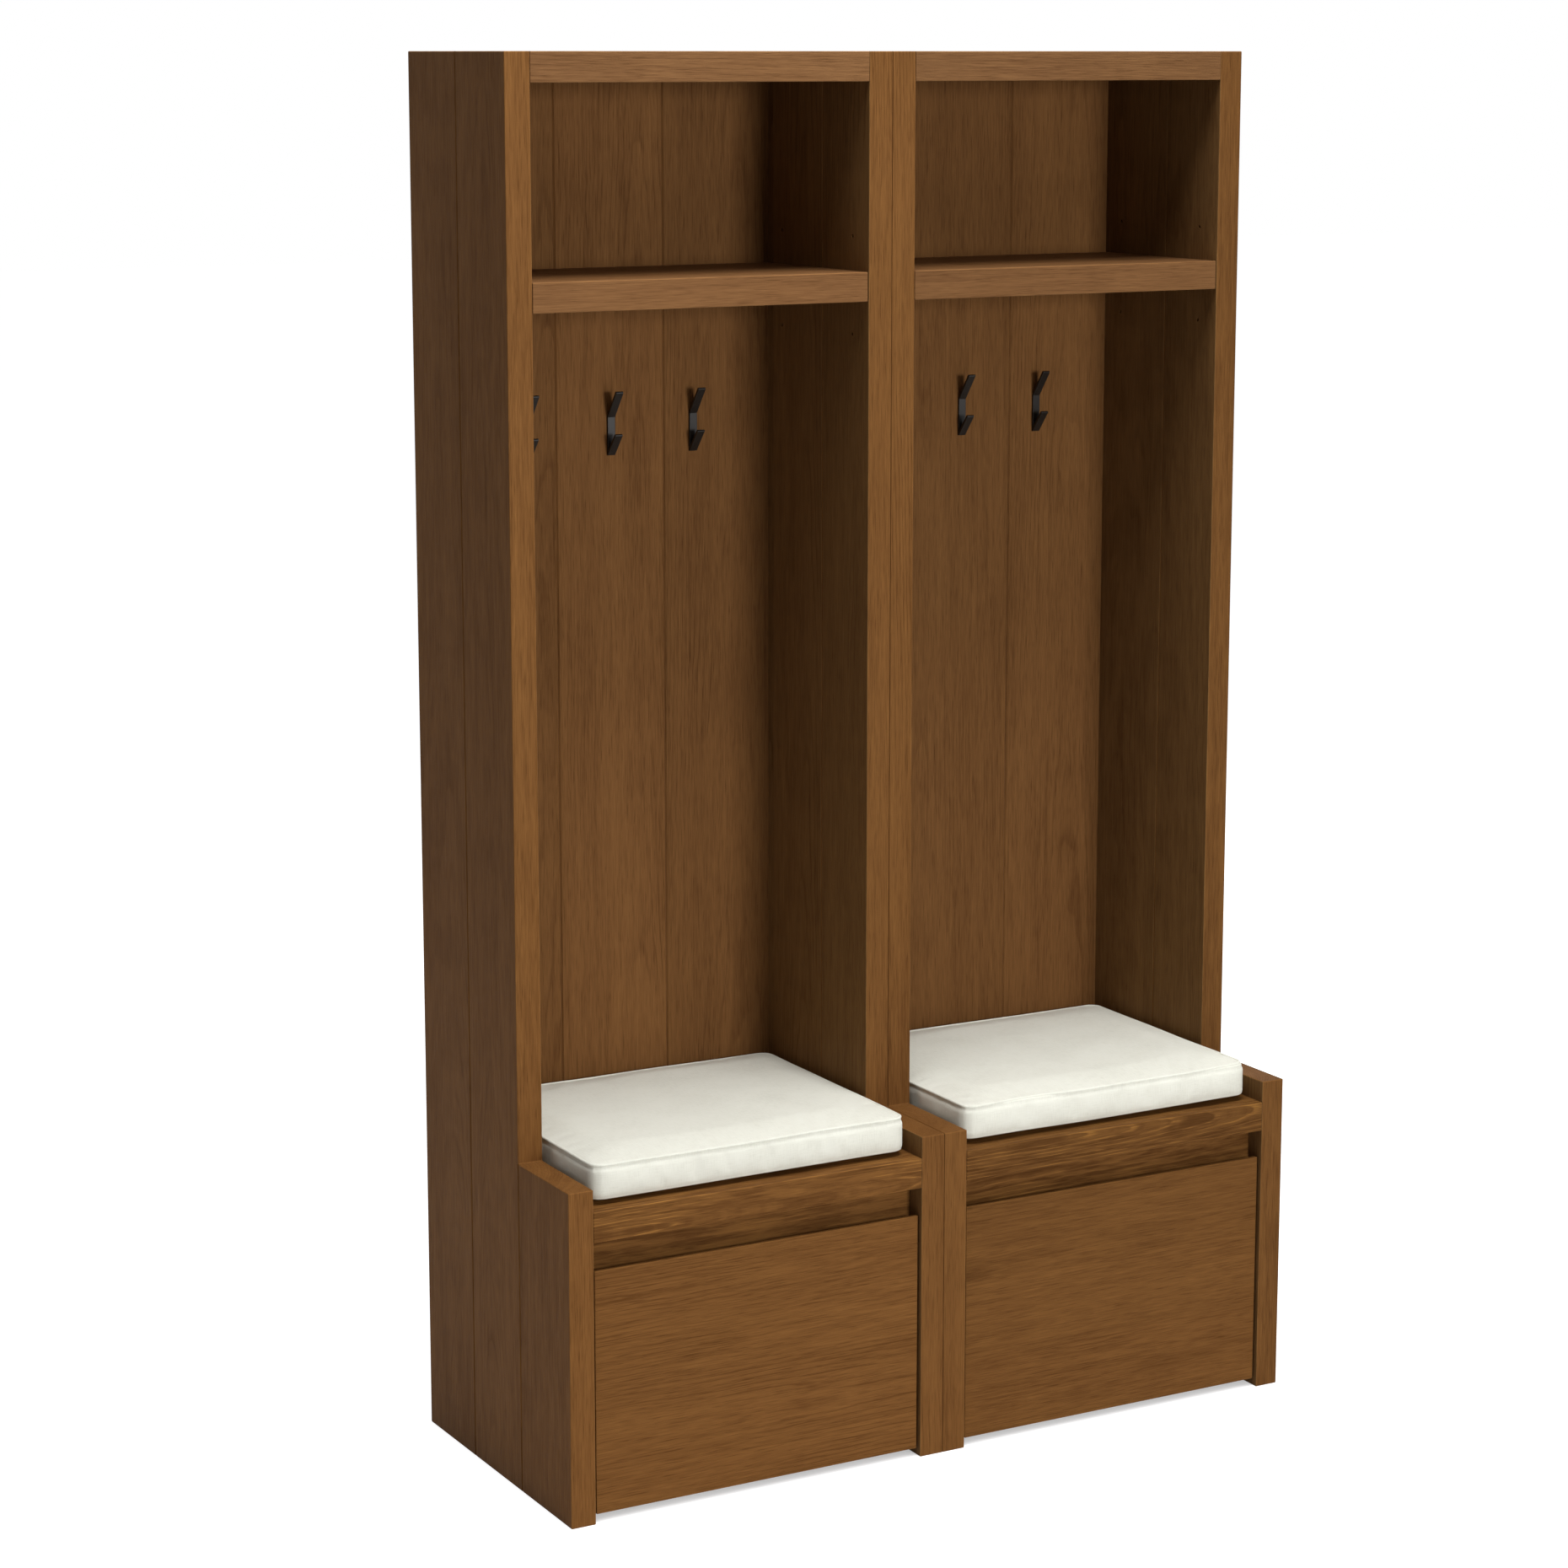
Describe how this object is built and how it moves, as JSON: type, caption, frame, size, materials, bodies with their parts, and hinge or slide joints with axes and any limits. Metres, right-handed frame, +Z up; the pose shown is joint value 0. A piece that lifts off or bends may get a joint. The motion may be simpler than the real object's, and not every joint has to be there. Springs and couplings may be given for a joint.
{
  "type": "hall tree",
  "caption": "Wooden hall tree of tall joined towers, each with an open cubby and shelf, coat hooks on a grooved back, and a cushioned bench over a deep drawer opened by a finger gap.",
  "frame": {"origin": "on the floor, midway between the towers and midway from the bench front to the back", "axes": "+Z up, +X to the right seen from the front, +Y towards the wall; the bench and drawers face -Y"},
  "size_m": [1.212, 0.483, 2.032],
  "materials": {
    "oak": "satin, brown stain",
    "drawer_wood": "clear satin",
    "dowel_wood": "plain",
    "black_metal": "satin",
    "slide_steel": "zinc plated",
    "pin_steel": "nickel plated",
    "fastener_steel": "zinc plated",
    "cushion_fabric": "plain weave"
  },
  "bodies": {
    "hall_tree": {"back_screws": "fastener_steel", "cabinet_slide_screws": "fastener_steel", "hook_screws": "fastener_steel", "left_back_panel": "oak", "left_base": "oak", "left_finger_rail": "oak", "left_hook_1": "black_metal", "left_hook_2": "black_metal", "left_hook_3": "black_metal", "left_inner_side": "oak", "left_inner_slide_cabinet": "slide_steel", "left_outer_side": "oak", "left_outer_slide_cabinet": "slide_steel", "left_seat": "oak", "left_shelf": "oak", "left_top": "oak", "panel_dowels": "dowel_wood", "right_back_panel": "oak", "right_base": "oak", "right_finger_rail": "oak", "right_hook_1": "black_metal", "right_hook_2": "black_metal", "right_hook_3": "black_metal", "right_inner_side": "oak", "right_inner_slide_cabinet": "slide_steel", "right_outer_side": "oak", "right_outer_slide_cabinet": "slide_steel", "right_seat": "oak", "right_shelf": "oak", "right_top": "oak", "shelf_pins": "pin_steel", "tower_bolts": "fastener_steel", "tower_sleeve_nuts": "fastener_steel"},
    "left_drawer": {"left_drawer_back": "drawer_wood", "left_drawer_bottom": "drawer_wood", "left_drawer_box_front": "drawer_wood", "left_drawer_front": "oak", "left_drawer_front_screws": "fastener_steel", "left_drawer_inner_side": "drawer_wood", "left_drawer_outer_side": "drawer_wood", "left_drawer_slide_screws": "fastener_steel", "left_inner_slide_drawer": "slide_steel", "left_outer_slide_drawer": "slide_steel"},
    "right_drawer": {"right_drawer_back": "drawer_wood", "right_drawer_bottom": "drawer_wood", "right_drawer_box_front": "drawer_wood", "right_drawer_front": "oak", "right_drawer_front_screws": "fastener_steel", "right_drawer_inner_side": "drawer_wood", "right_drawer_outer_side": "drawer_wood", "right_drawer_slide_screws": "fastener_steel", "right_inner_slide_drawer": "slide_steel", "right_outer_slide_drawer": "slide_steel"},
    "left_slide_middles": {"left_inner_slide_middle": "slide_steel", "left_outer_slide_middle": "slide_steel"},
    "right_slide_middles": {"right_inner_slide_middle": "slide_steel", "right_outer_slide_middle": "slide_steel"},
    "left_cushion": {"left_cushion": "cushion_fabric"},
    "right_cushion": {"right_cushion": "cushion_fabric"}
  },
  "joints": [
    {"name": "left_drawer_slide", "type": "slide", "parent": "hall_tree", "child": "left_drawer", "axis": [0, -1, 0], "range_m": [0, 0.38]},
    {"name": "left_slide_middles_slide", "type": "slide", "parent": "hall_tree", "child": "left_slide_middles", "axis": [0, -1, 0], "range_m": [0, 0.19]},
    {"name": "left_cushion_lift", "type": "slide", "parent": "hall_tree", "child": "left_cushion", "axis": [0, 0, 1], "range_m": [0, 0.15]},
    {"name": "right_drawer_slide", "type": "slide", "parent": "hall_tree", "child": "right_drawer", "axis": [0, -1, 0], "range_m": [0, 0.38]},
    {"name": "right_slide_middles_slide", "type": "slide", "parent": "hall_tree", "child": "right_slide_middles", "axis": [0, -1, 0], "range_m": [0, 0.19]},
    {"name": "right_cushion_lift", "type": "slide", "parent": "hall_tree", "child": "right_cushion", "axis": [0, 0, 1], "range_m": [0, 0.15]}
  ],
  "couplings": [
    {"joint": "left_slide_middles_slide", "follows": "left_drawer_slide", "ratio": 0.5},
    {"joint": "right_slide_middles_slide", "follows": "right_drawer_slide", "ratio": 0.5}
  ]
}
